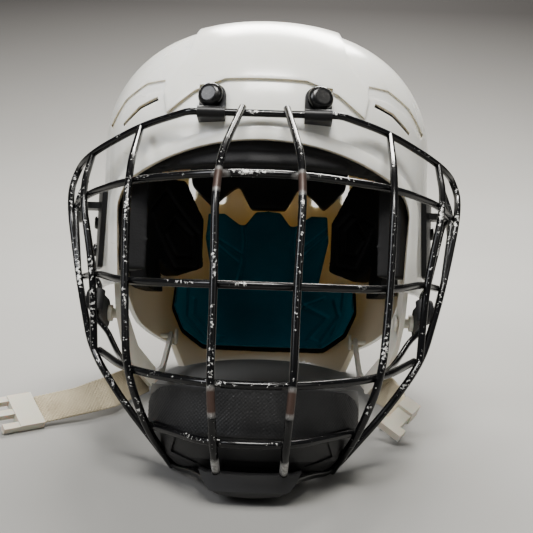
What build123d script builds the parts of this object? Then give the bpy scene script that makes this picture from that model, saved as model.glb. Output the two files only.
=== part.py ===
from build123d import *
from math import asin, cos, degrees, radians, sin, sqrt, tan
import os

os.makedirs("parts", exist_ok=True)

# An ice hockey helmet with its wire face cage, drawn as it is worn and then tipped back to stand.
# X runs across the face, Y from the forehead back, Z up; zero height is the cage's hinge wire.
# All lengths are millimetres and all angles are degrees.

# Stance on a table
pitch = 15
stand_height = 185
stand_shift = -68

# Front shell, its section across the crown and its plan
shell_radius = 102
crown_height = 76
crown_arc = 180
shoulder_arc = 70
shell_wall = 3
forehead_y = 0
band_length = 52
front_back_edge = 148
cheek_drop = 90
cheek_back = 88
ear_top = 40
ear_fillet = 16
lip_rise = 1.6
lip_width = 7
panel_rise = 2.2
panel_back = 70
recess_depth = 1.4

# Face opening in the front shell
brow_height = 13
brow_arc = 178
brow_half_width = 86
jaw_half_width = 78
brow_fillet = 20

# Rear shell
shell_gap = 0.4
tail_arc = 300
tail_top = 35
rear_front_edge = 116
slide_travel = 12
nape_vent_width = 8
nape_vent_length = 28
nape_vent_height = 5
nape_vent_turn = 15
nape_vent_count = 6

# Running and seating clearances, and one overrun for every cut
seat_gap = 0.3
running_gap = 0.05
overrun = 60

# Foam
brow_pad_thickness = 12
brow_pad_drop = 26
brow_pad_top = 28
brow_pad_back = 75
crown_pad_thickness = 11
crown_pad_start = 30
crown_pad_back = 112
crown_pad_half_width = 78
temple_pad_thickness = 11
temple_pad_front = 44
temple_pad_back = 86
temple_pad_top = -27
temple_pad_bottom = -68
temple_toe_back = 54
temple_toe_bottom = -82
side_pad_thickness = 14
side_pad_turn = 35
nape_pad_thickness = 14
neck_pad_thickness = 12
backing_thickness = 4
backing_border = 3.5
rear_crown_front = 120
flank_pad_front = 124
flank_pad_top = 20
flank_pad_bottom = -84
floor_gap = 2

# Cage: overall sizes, its wire, its welds and its bends
cage_half_width = 114.5
cage_reach = 70
cage_drop = 190
wire_radius = 2
rear_wire_radius = 1.6
weld_sink = 0.6
hinge_y = -5
hinge_overhang = 4.5
hinge_bend = 10
bend_share = 0.45
settling_rounds = 14

# Wire clips on the forehead
clip_spacing = 58
clip_width = 15
clip_wall = 1.2
clip_tongue = 2.6
clip_seat = 0.1
clip_screw_height = 10.5

# Screws and nuts
screw_radius = 2.4
screw_head_radius = 7.2
screw_head_height = 4.6
screw_slot_width = 1.3
screw_slot_depth = 1.5
dome_share = 0.8
cross_share = 1.25
nut_radius = 6
nut_flange = 1.4
size_screw_y = 138
size_screw_high = -3
size_screw_low = -27
size_head_height = 2.4

# Side clips
side_clip_front = 62
side_clip_back = 88
side_clip_top = -32
side_clip_bottom = -79
side_clip_wall = 2.8
side_screw_y = 83
side_screw_high = -50
side_screw_low = -67
side_head_radius = 4
side_head_height = 1.8
hook_front = 70
hook_back = 80
hook_top = -38.9
hook_bridge = 4
hook_wall = 2.2
hook_outside = 114.4
hook_drop = 8

# Cage straps on the rear wire
strap_x = 94
strap_y = 46
strap_z = -101
strap_lean = 29.7
strap_run_half = 11
strap_bend = 9.5
strap_thickness = 2.8
strap_wrap_wall = 2
strap_wrap_length = 14
snap_y = 76
snap_z = -106
snap_disc_radius = 8.5
knob_radius = 5
knob_height = 2.3
knob_neck_radius = 3
knob_flange = 1.4
tab_length = 11
leaf_share = 0.55
tab_turn = 20

# Ear loops of flat plastic, and the narrow tails that run to the rear shell
loop_thickness = 2.6
loop_width = 13
loop_bend = 18
tail_width = 6.5
boss_y = 66
boss_z = -80
button_radius = 5.5
button_height = 1.6

# Chin cup and its padded face, both turned about an upright line
chin_y = 8
chin_pad_radius = 60
chin_pad_thickness = 4
chin_pad_top = -144
chin_pad_bottom = -171
chin_pad_turn = 64
chin_pad_edge = 1.6
cup_wall = 2.5
cup_turn = 82
knee_share = 0.87
toe_share = 0.7
pocket_depth = 1.2
lip_top = -187
bar_radius = 57
bar_depth = 26
bar_top = -185
bar_face = 11
bar_bottom = -204

# Chin strap: woven webbing and its two buckle halves, laid on the table
webbing_width = 20
webbing_thickness = 1.6
buckle_width = 24
buckle_length = 15
buckle_thickness = 5
prong_length = 10
prong_width = 4
receiver_width = 17
receiver_length = 9
receiver_thickness = 10
receiver_wall = 1.6
receiver_bar = 6
receiver_neck_width = 9
receiver_neck_length = 11
receiver_climb = 21

front_y = forehead_y + shell_radius
rear_y = front_y + band_length
rear_inset = shell_wall + shell_gap
inner_inset = shell_wall + seat_gap
rear_inner_inset = rear_inset + shell_wall + seat_gap
hinge_half_length = (clip_spacing + clip_width) / 2 + hinge_overhang
clip_top = clip_screw_height + clip_width / 2
shoulder_x = shell_radius - shoulder_arc
crown_z = crown_height - crown_arc
shoulder_z = crown_z + sqrt((crown_arc - shoulder_arc) ** 2 - shoulder_x**2)


def height_on_floor(y):
    """The floor's height, in the worn frame, at a distance behind the forehead."""
    return (-stand_height + y * sin(radians(pitch))) / cos(radians(pitch))


def section(y, inset, bottom, tail=False, both=False):
    """The dome's section across the head, from the middle outwards, drawn at y."""
    lean = degrees(asin(shoulder_x / (crown_arc - shoulder_arc)))
    side = shell_radius - inset
    with BuildSketch(Plane.XZ.offset(-y)) as face:
        with BuildLine():
            CenterArc((0, crown_z), crown_arc - inset, 90 - lean, lean)
            CenterArc((shoulder_x, shoulder_z), shoulder_arc - inset, 0, 90 - lean)
            if tail:
                Line((side, shoulder_z), (side, -tail_top))
                turn = degrees(asin((-bottom - tail_top) / (tail_arc - inset)))
                low = CenterArc((shell_radius - tail_arc, -tail_top), tail_arc - inset, 0, -turn)
            else:
                low = Line((side, shoulder_z), (side, bottom))
            foot = low @ 1
            Line((foot.X, foot.Y), (0, foot.Y))
            Line((0, foot.Y), (0, crown_height - inset))
        make_face()
        if both:
            mirror(about=Plane.YZ)
    return face.sketch


def front_dome(inset, back, bottom):
    """Solid form of the front: half a dome, then a straight band back to the given y."""
    half = section(front_y, inset, bottom)
    with BuildPart() as form:
        revolve(half, axis=Axis((0, front_y, 0), (0, 0, -1)), revolution_arc=180)
        if back > front_y:
            full = section(front_y, inset, bottom, both=True)
            extrude(full, amount=back - front_y, dir=(0, 1, 0))
    return form.part


def rear_dome(inset, front, bottom):
    """Solid form of the back: a straight band from the given y, then half a dome."""
    half = section(rear_y, inset, bottom, tail=True)
    with BuildPart() as form:
        revolve(half, axis=Axis((0, rear_y, 0), (0, 0, 1)), revolution_arc=180)
        if front < rear_y:
            full = section(rear_y, inset, bottom, tail=True, both=True)
            extrude(full, amount=rear_y - front, dir=(0, -1, 0))
    return form.part


def shell_points(shares):
    """Outline points given as shares of the shell's half width."""
    return [(a * shell_radius, b * shell_radius) for a, b in shares]


def both_sides(points):
    """A half outline, from the middle outwards, closed by its mirror image."""
    return points + [(-a, b) for a, b in reversed(points) if a]


def front_view_block(points, near, far):
    """A front view outline of (x, z) points filled from one y to another."""
    with BuildPart() as block:
        with BuildSketch(Plane.XZ.offset(-near)):
            with BuildLine():
                Polyline(*points, close=True)
            make_face()
        extrude(amount=near - far)
    return block.part


def side_view_block(points, corner=0):
    """A side view outline of (y, z) points filled both ways across the helmet."""
    with BuildPart() as block:
        with BuildSketch(Plane.YZ):
            with BuildLine():
                if corner:
                    FilletPolyline(*points, radius=corner, close=True)
                else:
                    Polyline(*points, close=True)
            make_face()
        extrude(amount=shell_radius + overrun, both=True)
    return block.part


def box_between(low, high):
    """A plain block between two opposite corners."""
    size = Vector(*high) - Vector(*low)
    with BuildPart() as block:
        with BuildSketch(Plane.XY.offset(low[2])):
            with Locations(((low[0] + high[0]) / 2, (low[1] + high[1]) / 2)):
                Rectangle(size.X, size.Y)
        extrude(amount=size.Z)
    return block.part


def side_slab(side):
    """All of the space on one side of the middle plane."""
    reach = shell_radius + overrun
    low, high = sorted([0, side * reach])
    return box_between((low, -reach, -2 * reach), (high, rear_y + reach, reach))


def pin(plane, radius, length):
    """A round pin standing on a plane, or sunk behind it where the length is negative."""
    with BuildPart() as rod:
        with BuildSketch(plane):
            Circle(radius)
        extrude(amount=length)
    return rod.part


def ring(plane, radius, bore, length):
    """A flat round nut behind a plane."""
    with BuildPart() as washer:
        with BuildSketch(plane):
            Circle(radius)
            Circle(bore, mode=Mode.SUBTRACT)
        extrude(amount=-length)
    return washer.part


def domed_screw(plane, radius, height, shank):
    """A screw with a domed cross head on a plane and its shank behind it."""
    with BuildPart() as screw:
        with BuildSketch(plane):
            Circle(radius)
        extrude(amount=height)
        crown = screw.faces().sort_by(Axis(plane.origin, plane.z_dir))[-1]
        fillet(crown.edges(), height * dome_share)
        with BuildSketch(plane.offset(height)):
            Rectangle(radius * cross_share, screw_slot_width)
            Rectangle(screw_slot_width, radius * cross_share)
        extrude(amount=-screw_slot_depth, mode=Mode.SUBTRACT)
        with BuildSketch(plane):
            Circle(screw_radius)
        extrude(amount=-shank)
    return screw.part


def dome_plane(x, z, rise):
    """A plane facing out from the front dome below its crown, rise above its surface."""
    slope = asin(max(0, z - shoulder_z) / shoulder_arc)
    radius = shoulder_x + shoulder_arc * cos(slope)
    turn = asin(x / radius)
    out = Vector(sin(turn) * cos(slope), -cos(turn) * cos(slope), sin(slope))
    origin = Vector(x, front_y - radius * cos(turn), z) + out * rise
    return Plane(origin=origin, x_dir=(cos(turn), sin(turn), 0), z_dir=out)


def side_plane(side, y, z, rise):
    """The same plane, found by its distance behind the forehead."""
    return dome_plane(side * sqrt(shell_radius**2 - (front_y - y) ** 2), z, rise)


def flank_plane(side, y, z, rise):
    """A plane facing out from the flat side of the band, rise above its surface."""
    origin = (side * (shell_radius + rise), y, z)
    return Plane(origin=origin, x_dir=(0, side, 0), z_dir=(side, 0, 0))


floor_plane = Plane(
    origin=(0, 0, 0),
    x_dir=(1, 0, 0),
    z_dir=(0, -sin(radians(pitch)), cos(radians(pitch))),
).offset(-stand_height)


# Front shell: moulded outer shell over the forehead, crown and temples
def face_outline(grow):
    """The face opening seen from in front, made larger all round by grow."""
    brow_z = -brow_height
    corner_z = brow_z - brow_arc + sqrt(brow_arc**2 - brow_half_width**2)
    low = -(cheek_drop + overrun)
    with BuildPart() as block:
        with BuildSketch(Plane.XZ.offset(overrun)) as face:
            with BuildLine():
                ThreePointArc((-brow_half_width, corner_z), (0, brow_z), (brow_half_width, corner_z))
                Line((brow_half_width, corner_z), (jaw_half_width, low))
                Line((jaw_half_width, low), (-jaw_half_width, low))
                Line((-jaw_half_width, low), (-brow_half_width, corner_z))
            make_face()
            tops = face.vertices().group_by(Axis.Y)[-1]
            fillet(tops, brow_fillet)
            if grow:
                offset(amount=grow)
        extrude(amount=-overrun - front_y)
    return block.part


panel_shares = [
    (0, 0.2095), (0.219, 0.2095), (0.3905, 0.1476), (0.5429, 0.0381), (0.5714, 0.1905),
    (0.4476, 0.3619), (0.3619, 0.9048),
]
groove_shares = [
    (0.5588, 0.1765), (0.5686, 0.2451), (0.6863, 0.2549), (0.8235, 0.1961), (0.9314, 0.0784),
    (0.9069, 0.0392), (0.8137, 0.1275), (0.6863, 0.1765),
]
side_slot_shares = [
    (0.598, 0.1225), (0.7059, 0.0931), (0.8186, 0.0196), (0.8255, 0.0412), (0.7157, 0.1176),
    (0.6078, 0.1471),
]

front_inner = front_dome(shell_wall, front_back_edge + overrun, -cheek_drop - overrun)
front_outer = front_dome(0, front_back_edge, -cheek_drop)
ear_cut = side_view_block(
    [
        (cheek_back, -cheek_drop - overrun),
        (cheek_back, -ear_top),
        (front_back_edge + overrun, -ear_top),
        (front_back_edge + overrun, -cheek_drop - overrun),
    ],
    ear_fillet,
)
panel = front_view_block(both_sides(shell_points(panel_shares)), -overrun, panel_back)
clip_pockets = [
    front_view_block(
        [
            (side * clip_spacing / 2 - clip_width / 2 - seat_gap, -clip_top),
            (side * clip_spacing / 2 + clip_width / 2 + seat_gap, -clip_top),
            (side * clip_spacing / 2 + clip_width / 2 + seat_gap, clip_top + seat_gap),
            (side * clip_spacing / 2 - clip_width / 2 - seat_gap, clip_top + seat_gap),
        ],
        -overrun,
        front_y / 2,
    )
    for side in (-1, 1)
]
with BuildPart() as raised:
    add(front_dome(-panel_rise, front_y, -cheek_drop))
    add(panel, mode=Mode.INTERSECT)
    for pocket in clip_pockets:
        add(pocket, mode=Mode.SUBTRACT)

with BuildPart() as front_shell:
    add(front_dome(-lip_rise, front_back_edge, -cheek_drop))
    add(face_outline(lip_width), mode=Mode.INTERSECT)
    add(front_outer)
    add(raised.part)
    for side in (-1, 1):
        groove = [(side * x, z) for x, z in shell_points(groove_shares)]
        with BuildPart(mode=Mode.PRIVATE) as cutter:
            add(front_view_block(groove, -overrun, front_y))
            add(front_dome(recess_depth, front_y, -cheek_drop), mode=Mode.SUBTRACT)
        add(cutter.part, mode=Mode.SUBTRACT)
        slot = [(side * x, z) for x, z in shell_points(side_slot_shares)]
        add(front_view_block(slot, -overrun, front_y), mode=Mode.SUBTRACT)
    add(front_inner, mode=Mode.SUBTRACT)
    add(face_outline(0), mode=Mode.SUBTRACT)
    add(ear_cut, mode=Mode.SUBTRACT)
    for side in (-1, 1):
        hole = dome_plane(side * clip_spacing / 2, clip_screw_height, overrun / 2)
        add(pin(hole, screw_radius + running_gap, -overrun), mode=Mode.SUBTRACT)
        for z in (side_screw_high, side_screw_low):
            hole = side_plane(side, side_screw_y, z, shell_wall)
            add(pin(hole, screw_radius + running_gap, -overrun / 3), mode=Mode.SUBTRACT)
        for z in (size_screw_high, size_screw_low):
            hole = flank_plane(side, size_screw_y, z, shell_wall)
            add(pin(hole, screw_radius + running_gap, -overrun / 3), mode=Mode.SUBTRACT)


# Rear shell: nests under the front shell and wraps the back of the head
rear_bottom = height_on_floor(rear_y) - overrun / 3
rear_inner = rear_dome(rear_inset + shell_wall, rear_front_edge - overrun, rear_bottom - overrun / 3)
nape_shares = [
    (0.5619, -0.3619), (1.2157, -0.3619), (1.3529, -0.8725), (1.6569, -1.049), (2.0286, -1.1857),
]
nape_low = shell_points(nape_shares)
nape_cut = side_view_block(
    nape_low + [(nape_low[-1][0], rear_bottom - overrun), (nape_low[0][0], rear_bottom - overrun)]
)

with BuildPart() as rear_shell:
    add(rear_dome(rear_inset, rear_front_edge, rear_bottom))
    add(rear_inner, mode=Mode.SUBTRACT)
    add(nape_cut, mode=Mode.SUBTRACT)
    split(bisect_by=floor_plane, keep=Keep.TOP)
    for index in range(nape_vent_count):
        turn = radians((index - (nape_vent_count - 1) / 2) * nape_vent_turn)
        out = Vector(sin(turn), cos(turn), 0)
        wall = Plane(
            origin=Vector(0, rear_y, nape_vent_height) + out * (shell_radius / 2),
            x_dir=(cos(turn), -sin(turn), 0),
            z_dir=out,
        )
        with BuildSketch(wall):
            SlotOverall(nape_vent_length, nape_vent_width, rotation=90)
        extrude(amount=shell_radius, mode=Mode.SUBTRACT)
    for side in (-1, 1):
        for z in (size_screw_high, size_screw_low):
            with BuildSketch(flank_plane(side, size_screw_y - slide_travel / 2, z, shell_wall)):
                SlotCenterToCenter(slide_travel, 2 * (screw_radius + seat_gap))
            extrude(amount=-overrun / 3, mode=Mode.SUBTRACT)


# Foam on the inside of both shells
def front_foam(thickness, back, bottom):
    """A layer of foam that lines the front shell."""
    with BuildPart() as foam:
        add(front_dome(inner_inset, back, bottom))
        add(front_dome(inner_inset + thickness, back + overrun, bottom - overrun), mode=Mode.SUBTRACT)
    return foam.part


def rear_foam(near, thickness, front):
    """A layer of foam that lines the rear shell, its outer face set in by near."""
    with BuildPart() as foam:
        add(rear_dome(near, front, rear_bottom))
        add(rear_dome(near + thickness, front - overrun, rear_bottom - overrun / 3), mode=Mode.SUBTRACT)
    return foam.part


with BuildPart() as brow_pad:
    add(front_foam(brow_pad_thickness, front_y, -brow_pad_drop))
    limits = [
        (-overrun, -brow_pad_drop),
        (brow_pad_back, -brow_pad_drop),
        (brow_pad_back, brow_pad_top),
        (-overrun, brow_pad_top),
    ]
    add(side_view_block(limits), mode=Mode.INTERSECT)
    for side in (-1, 1):
        seat = dome_plane(side * clip_spacing / 2, clip_screw_height, 0)
        add(pin(seat, nut_radius + seat_gap, -inner_inset - nut_flange - seat_gap), mode=Mode.SUBTRACT)

crown_pad_corner = (-crown_pad_half_width, crown_pad_start, brow_pad_top + seat_gap)
with BuildPart() as crown_pad_front:
    add(front_foam(crown_pad_thickness, crown_pad_back, 0))
    block = box_between(crown_pad_corner, (crown_pad_half_width, crown_pad_back, crown_height))
    add(block, mode=Mode.INTERSECT)

temple_foam = front_foam(temple_pad_thickness, front_y, temple_toe_bottom)
temple_outline = side_view_block(
    [
        (temple_pad_front, temple_pad_top),
        (temple_pad_back, temple_pad_top),
        (temple_pad_back, temple_pad_bottom),
        (temple_toe_back, temple_pad_bottom),
        (temple_toe_back, temple_toe_bottom),
        (temple_pad_front, temple_toe_bottom),
    ]
)


def temple_pad(side):
    """One temple pad, beside the face opening, with a toe that runs down its edge."""
    with BuildPart() as pad:
        add(temple_foam)
        add(temple_outline, mode=Mode.INTERSECT)
        add(side_slab(side), mode=Mode.INTERSECT)
    return pad.part


crown_edge_shares = [
    (0, -0.0762), (0.1333, -0.0762), (0.2286, 0.0952), (0.3048, 0.0381), (0.419, -0.0857),
    (0.4952, -0.019), (0.5714, 0.0571), (0.5784, 0.1471), (0.7157, 0.3137), (0.7157, 0.8571),
]
side_pad_shares = [
    (-0.1562, -0.0067), (0.0886, 0.0219), (0.2619, -0.2457), (0.2619, -0.6124),
    (0.0143, -0.6933), (-0.219, -0.5914), (-0.3295, -0.2829),
]
lobe_shares = [
    (0, -0.141), (0.0952, -0.1524), (0.1714, -0.2571), (0.2095, -0.2571), (0.3238, -0.181),
    (0.4429, -0.1905), (0.4571, -0.381), (0.3922, -0.7), (0, -0.7),
]
neck_shares = [
    (0, -0.7086), (0.5588, -0.7086), (0.6275, -0.7549), (0.6373, -0.9118), (0.5686, -1.0686),
    (0.4314, -1.1716), (0, -1.1716),
]

with BuildPart() as crown_pad_rear:
    add(rear_foam(rear_inner_inset, crown_pad_thickness, rear_crown_front))
    crown_edge = shell_points(crown_edge_shares)
    block = front_view_block(both_sides(crown_edge), rear_crown_front, rear_y + 2 * shell_radius)
    add(block, mode=Mode.INTERSECT)

side_foam = rear_foam(rear_inner_inset, side_pad_thickness, rear_y)
flank_inset = rear_inner_inset + nut_flange + seat_gap
flank_depth = rear_inner_inset + side_pad_thickness - flank_inset
with BuildPart() as flank_foam:
    add(rear_foam(flank_inset, flank_depth, flank_pad_front))
    flank_outline = [
        (flank_pad_front, flank_pad_top),
        (rear_y + 2 * side_pad_thickness, flank_pad_top),
        (rear_y + 2 * side_pad_thickness, flank_pad_bottom),
        (rear_y - side_pad_thickness, flank_pad_bottom),
        (flank_pad_front + seat_gap, size_screw_low - nut_radius),
    ]
    add(side_view_block(flank_outline), mode=Mode.INTERSECT)


def side_pad(side):
    """One pad beside the back of the head: an outline cast along its own facing, and a flank."""
    turn = radians(side_pad_turn)
    facing = Plane(
        origin=(0, rear_y, 0),
        x_dir=(-side * sin(turn), cos(turn), 0),
        z_dir=(side * cos(turn), sin(turn), 0),
    )
    outline = shell_points(side_pad_shares)
    with BuildPart() as pad:
        with BuildSketch(facing) as face:
            with BuildLine():
                Polyline(*[(a, b * facing.y_dir.Z) for a, b in outline], close=True)
            make_face()
            fillet(face.vertices(), side_pad_thickness / 3)
        extrude(amount=shell_radius)
        add(side_foam, mode=Mode.INTERSECT)
        with BuildPart(mode=Mode.PRIVATE) as flank:
            add(flank_foam.part)
            add(side_slab(side), mode=Mode.INTERSECT)
        add(flank.part)
    return pad.part


nape_foam = rear_foam(rear_inner_inset, nape_pad_thickness, rear_y)
with BuildPart() as occipital_pad:
    add(nape_foam)
    lobes = both_sides(shell_points(lobe_shares))
    add(front_view_block(lobes, rear_y, rear_y + 2 * shell_radius), mode=Mode.INTERSECT)

backing_outline = both_sides(shell_points(neck_shares))
with BuildPart() as neck_pad_backing:
    with BuildSketch(Plane.XZ.offset(-rear_y)):
        with BuildLine():
            Polyline(*backing_outline, close=True)
        make_face()
        offset(amount=backing_border)
    extrude(amount=-2 * shell_radius)
    add(rear_foam(rear_inner_inset, backing_thickness, rear_y), mode=Mode.INTERSECT)
    below = (shell_radius, rear_y + 2 * shell_radius, backing_outline[0][1])
    add(box_between((-shell_radius, 0, -2 * shell_radius), below), mode=Mode.INTERSECT)
    split(bisect_by=floor_plane.offset(floor_gap), keep=Keep.TOP)

with BuildPart() as neck_pad:
    add(rear_foam(rear_inner_inset + backing_thickness, neck_pad_thickness, rear_y))
    add(front_view_block(backing_outline, rear_y, rear_y + 2 * shell_radius), mode=Mode.INTERSECT)


# Cage wires, bent so that each runs through the crossings given for it
def cage_points(shares):
    """Crossings given as shares of the cage's half width, reach and drop."""
    return [Vector(x * cage_half_width, y * cage_reach, z * cage_drop) for x, y, z in shares]


def arc_at(before, corner, after, limit=None):
    """The radius of the bend at a corner, and the point in the middle of its arc."""
    back = before - corner
    ahead = after - corner
    half_turn = radians(180 - back.get_angle(ahead)) / 2
    radius = bend_share * min(back.length, ahead.length) / tan(half_turn)
    if limit:
        radius = min(radius, limit)
    inward = (back.normalized() + ahead.normalized()).normalized()
    return radius, corner + inward * radius * (1 / cos(half_turn) - 1)


def wire(points, radius, limits={}):
    """A round wire through the points; a corner with a limited bend keeps its straight runs."""
    corners = list(points)
    inner = range(1, len(points) - 1)
    for _ in range(settling_rounds):
        for i in inner:
            if i not in limits:
                _, middle = arc_at(corners[i - 1], corners[i], corners[i + 1])
                corners[i] = corners[i] + points[i] - middle
    bends = [arc_at(corners[i - 1], corners[i], corners[i + 1], limits.get(i))[0] for i in inner]
    with BuildPart() as rod:
        with BuildLine() as path:
            FilletPolyline(*corners, radius=bends)
        with BuildSketch(Plane(origin=path.line @ 0, z_dir=path.line % 0)):
            Circle(radius)
        sweep()
    return rod.part


def tucked(points):
    """Crossings moved in behind the upright wires, so that the two welds bite by the weld depth."""
    centre = Vector(0, cage_reach, 0)
    moved = []
    for point in points:
        inward = Vector(centre.X - point.X, centre.Y - point.Y, 0).normalized()
        moved.append(point + inward * (2 * wire_radius - weld_sink))
    return moved


def across(shares):
    """The tucked crossings of a wire that runs from side to side."""
    right = tucked(cage_points(shares))
    left = [Vector(-p.X, p.Y, p.Z) for p in right]
    return left + list(reversed(right))


perimeter_shares = [
    (0.6114, 0.2786, -0.0195), (0.8821, 0.6286, -0.0779), (1, 0.9429, -0.1237),
    (0.9904, 0.7143, -0.2347), (0.9083, 0.5429, -0.46), (0.7686, 0.1429, -0.6842),
    (0.6114, 0.0429, -0.8211), (0.3668, -0.0286, -0.9842), (0.262, -0.2857, -0.9974),
    (0.1572, -0.6143, -1.0026), (0, -0.6143, -1.0026),
]
centre_wire_shares = [
    (0.1048, -0.1036, 0.0132), (0.179, -0.7429, -0.2211), (0.1729, -0.9286, -0.5158),
    (0.1659, -1, -0.7611), (0.1485, -0.9286, -0.9053), (0.1415, -0.6143, -0.9895),
]
cheek_wire_shares = [
    (0.6114, 0.2786, -0.0195), (0.5983, -0.3429, -0.2211), (0.5808, -0.4857, -0.5),
    (0.5415, -0.5429, -0.7342), (0.4603, -0.4143, -0.8789), (0.3668, 0, -0.9937),
]
temple_wire_shares = [
    (0.8821, 0.6286, -0.0779), (0.8734, 0.2714, -0.2247), (0.7991, 0.1429, -0.4658),
    (0.7686, 0.1429, -0.6842),
]
ear_wire_shares = [
    (0.9345, 0.8571, -0.1474), (0.9598, 0.7143, -0.2358), (0.9083, 0.5429, -0.46),
]
eye_wire_shares = [
    (0.9904, 0.7143, -0.2347), (0.8734, 0.2714, -0.2247), (0.5983, -0.3429, -0.2211),
    (0.179, -0.7429, -0.2211),
]
nose_wire_shares = [
    (0.9083, 0.5429, -0.46), (0.7991, 0.1429, -0.4658), (0.5808, -0.4857, -0.5),
    (0.1729, -0.9286, -0.5158),
]
lip_wire_shares = [
    (0.7686, 0.1429, -0.6842), (0.5415, -0.5429, -0.7342), (0.1659, -1, -0.7611),
]
chin_wire_shares = [
    (0.4603, -0.4143, -0.8789), (0.1485, -0.9286, -0.9053),
]
rear_wire_shares = [
    (0.9904, 0.7143, -0.2347), (0.9563, 1.0571, -0.2447), (0.9389, 1.0714, -0.2895),
    (0.8603, 0.8286, -0.4474),
]
rear_wire_end_shares = [
    (0.7511, 0.4857, -0.6211), (0.655, 0.1429, -0.6895), (0.559, -0.4143, -0.7289),
]

hinge_line = [Vector(0, hinge_y, 0), Vector(hinge_half_length, hinge_y, 0)]
perimeter = hinge_line + cage_points(perimeter_shares)
strap_centre = Vector(strap_x, strap_y, strap_z)
strap_axis = Vector(0, -sin(radians(strap_lean)), -cos(radians(strap_lean)))
strap_run = [strap_centre - strap_axis * strap_run_half, strap_centre + strap_axis * strap_run_half]
rear_corners = cage_points(rear_wire_shares) + strap_run + cage_points(rear_wire_end_shares)
rear_limits = {4: strap_bend, 5: strap_bend}

with BuildPart() as cage_frame:
    add(wire(perimeter, wire_radius, {1: hinge_bend}))
    add(wire(cage_points(centre_wire_shares), wire_radius))
    add(wire(cage_points(cheek_wire_shares), wire_radius))
    add(wire(cage_points(temple_wire_shares), wire_radius))
    add(wire(cage_points(ear_wire_shares), rear_wire_radius))
    add(wire(rear_corners, rear_wire_radius, rear_limits))
    mirror(about=Plane.YZ)
    add(wire(across(eye_wire_shares), wire_radius))
    add(wire(across(nose_wire_shares), wire_radius))
    add(wire(across(lip_wire_shares), wire_radius))
    add(wire(across(chin_wire_shares), wire_radius))


# Wire clips: a hook round the hinge wire and a tongue screwed to the forehead
hook_radius = wire_radius + running_gap + clip_wall
tongue_shell = front_dome(-clip_seat - clip_tongue, front_y, -hook_radius)
clip_bed = front_dome(-clip_seat, front_y, -overrun)
clip_grip = clip_seat + clip_tongue + inner_inset + nut_flange


def wire_clip(side):
    """One clip; its screw hole and its bore follow the screw and the wire."""
    middle = side * clip_spacing / 2
    along = Plane(origin=(middle, hinge_y, 0), x_dir=(0, 1, 0), z_dir=(1, 0, 0))
    face = dome_plane(middle, clip_screw_height, overrun / 2)
    with BuildPart() as clip:
        with BuildSketch(Plane.XZ.offset(overrun)):
            with Locations((middle, (clip_screw_height - hook_radius) / 2)):
                Rectangle(clip_width, clip_screw_height + hook_radius)
            with Locations((middle, clip_screw_height)):
                Circle(clip_width / 2)
        extrude(amount=-overrun - front_y / 2)
        add(tongue_shell, mode=Mode.INTERSECT)
        with BuildSketch(along):
            Circle(hook_radius)
            with Locations((-hinge_y, 0)):
                Rectangle(-2 * hinge_y, 2 * hook_radius)
        extrude(amount=clip_width / 2, both=True)
        add(clip_bed, mode=Mode.SUBTRACT)
        with BuildSketch(along):
            Circle(wire_radius + running_gap)
        extrude(amount=clip_width, both=True, mode=Mode.SUBTRACT)
        add(pin(face, screw_radius + running_gap, -overrun), mode=Mode.SUBTRACT)
    return clip.part


with BuildPart() as clip_screws:
    for side in (-1, 1):
        seat = dome_plane(side * clip_spacing / 2, clip_screw_height, clip_seat + clip_tongue)
        add(domed_screw(seat, screw_head_radius, screw_head_height, clip_grip))

with BuildPart() as clip_nuts:
    for side in (-1, 1):
        seat = dome_plane(side * clip_spacing / 2, clip_screw_height, -inner_inset)
        add(ring(seat, nut_radius, screw_radius + running_gap, nut_flange))


# Size adjusting screws, which slide in slots of the rear shell
size_places = [(side, z) for side in (-1, 1) for z in (size_screw_high, size_screw_low)]
with BuildPart() as size_screws:
    for side, z in size_places:
        seat = flank_plane(side, size_screw_y, z, 0)
        add(domed_screw(seat, screw_head_radius, size_head_height, rear_inner_inset + nut_flange))

with BuildPart() as size_nuts:
    for side, z in size_places:
        seat = flank_plane(side, size_screw_y, z, -rear_inner_inset)
        add(ring(seat, nut_radius, screw_radius + running_gap, nut_flange))


# Side clips: a plate on the shell's flank with a hook that hangs over the rear wire
side_clip_rise = seat_gap + side_clip_wall
side_plate = front_dome(-side_clip_rise, front_y, side_clip_bottom)
side_bed = front_dome(-seat_gap, front_y, side_clip_bottom - overrun)
side_face = side_view_block(
    [
        (side_clip_front, side_clip_top),
        (side_clip_back, side_clip_top),
        (side_clip_back, side_clip_bottom),
        (side_clip_front + 2 * hook_wall, side_clip_bottom),
    ],
    hook_wall,
)


def side_clip(side):
    """One side clip, with the hook's outer leg hanging outboard of the rear wire."""
    hook_low = hook_top - hook_bridge
    with BuildPart() as clip:
        add(side_plate)
        add(side_face, mode=Mode.INTERSECT)
        with BuildSketch(Plane.XZ.offset(-hook_front)):
            with BuildLine():
                Polyline(
                    (side * shell_radius / 2, hook_top),
                    (side * hook_outside, hook_top),
                    (side * hook_outside, hook_low - hook_drop),
                    (side * (hook_outside - hook_wall), hook_low - hook_drop),
                    (side * (hook_outside - hook_wall), hook_low),
                    (side * shell_radius / 2, hook_low),
                    close=True,
                )
            make_face()
        extrude(amount=hook_front - hook_back)
        add(side_slab(side), mode=Mode.INTERSECT)
        add(side_bed, mode=Mode.SUBTRACT)
        for z in (side_screw_high, side_screw_low):
            hole = side_plane(side, side_screw_y, z, overrun / 3)
            add(pin(hole, screw_radius + running_gap, -overrun), mode=Mode.SUBTRACT)
    return clip.part


with BuildPart() as side_clip_screws:
    for side in (-1, 1):
        for z in (side_screw_high, side_screw_low):
            seat = side_plane(side, side_screw_y, z, side_clip_rise)
            add(domed_screw(seat, side_head_radius, side_head_height, side_clip_rise + shell_wall))


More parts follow.
